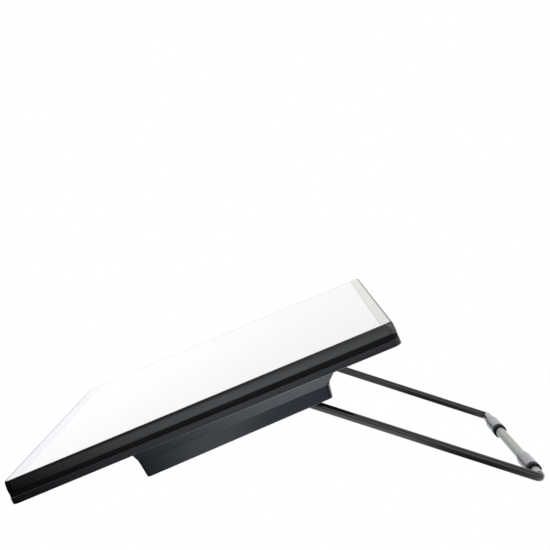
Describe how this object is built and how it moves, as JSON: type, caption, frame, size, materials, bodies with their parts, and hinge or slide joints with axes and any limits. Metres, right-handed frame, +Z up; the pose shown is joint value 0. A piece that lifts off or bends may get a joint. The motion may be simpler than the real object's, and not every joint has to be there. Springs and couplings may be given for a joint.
{
  "type": "tabletop music stand",
  "caption": "Flat desk in a slim two-shell frame, held at a reading slope by its low edge and by a wire bail that folds into a housing underneath.",
  "frame": {"origin": "middle of the footprint, on the table, with the bail open", "axes": "+X across the desk to the reader's right, +Y from the low edge to the high edge, away from the reader, +Z up"},
  "size_m": [0.4812, 0.474, 0.1574],
  "materials": {
    "white_laminate": "satin",
    "grey_edge_strip": "satin",
    "pale_edge_strip": "satin",
    "black_front_abs": "satin",
    "black_back_abs": "fine texture",
    "slate_housing_abs": "satin",
    "black_rubber": "matt",
    "fibreboard_core": "raw",
    "zinc_steel": "zinc plated",
    "black_screw_steel": "blackened",
    "natural_nylon": "moulded",
    "grey_felt": "felt",
    "black_lacquered_wire": "gloss lacquer",
    "satin_aluminium": "satin anodised",
    "light_grey_sleeve": "satin"
  },
  "bodies": {
    "desk": {"desk_sheet": "white_laminate", "high_strip": "grey_edge_strip", "low_strip": "pale_edge_strip", "left_strip": "pale_edge_strip", "right_strip": "pale_edge_strip", "front_shell": "black_front_abs", "groove_gasket": "black_rubber", "core_panel": "fibreboard_core", "back_shell": "black_back_abs", "shell_screws": "black_screw_steel", "edge_pads": "black_rubber", "left_backing_plate": "zinc_steel", "right_backing_plate": "zinc_steel", "left_hinge_bracket": "zinc_steel", "right_hinge_bracket": "zinc_steel", "bracket_screws": "zinc_steel", "left_hinge_bushes": "natural_nylon", "right_hinge_bushes": "natural_nylon", "hinge_housing": "slate_housing_abs", "housing_screws": "black_screw_steel", "stop_pads": "black_rubber", "channel_pads": "grey_felt"},
    "bail": {"bail_wire": "black_lacquered_wire", "thrust_washers": "natural_nylon", "spring_washers": "zinc_steel", "lock_nuts": "zinc_steel", "foot_tube": "satin_aluminium", "left_foot_sleeve": "light_grey_sleeve", "right_foot_sleeve": "light_grey_sleeve", "left_sleeve_ring": "black_rubber", "right_sleeve_ring": "black_rubber"}
  },
  "joints": [
    {"name": "bail_fold", "type": "hinge", "parent": "desk", "child": "bail", "pos_m": [0, 0.00421, 0.07858], "axis": [-1, 0, 0], "range_deg": [0, 139.3]}
  ]
}
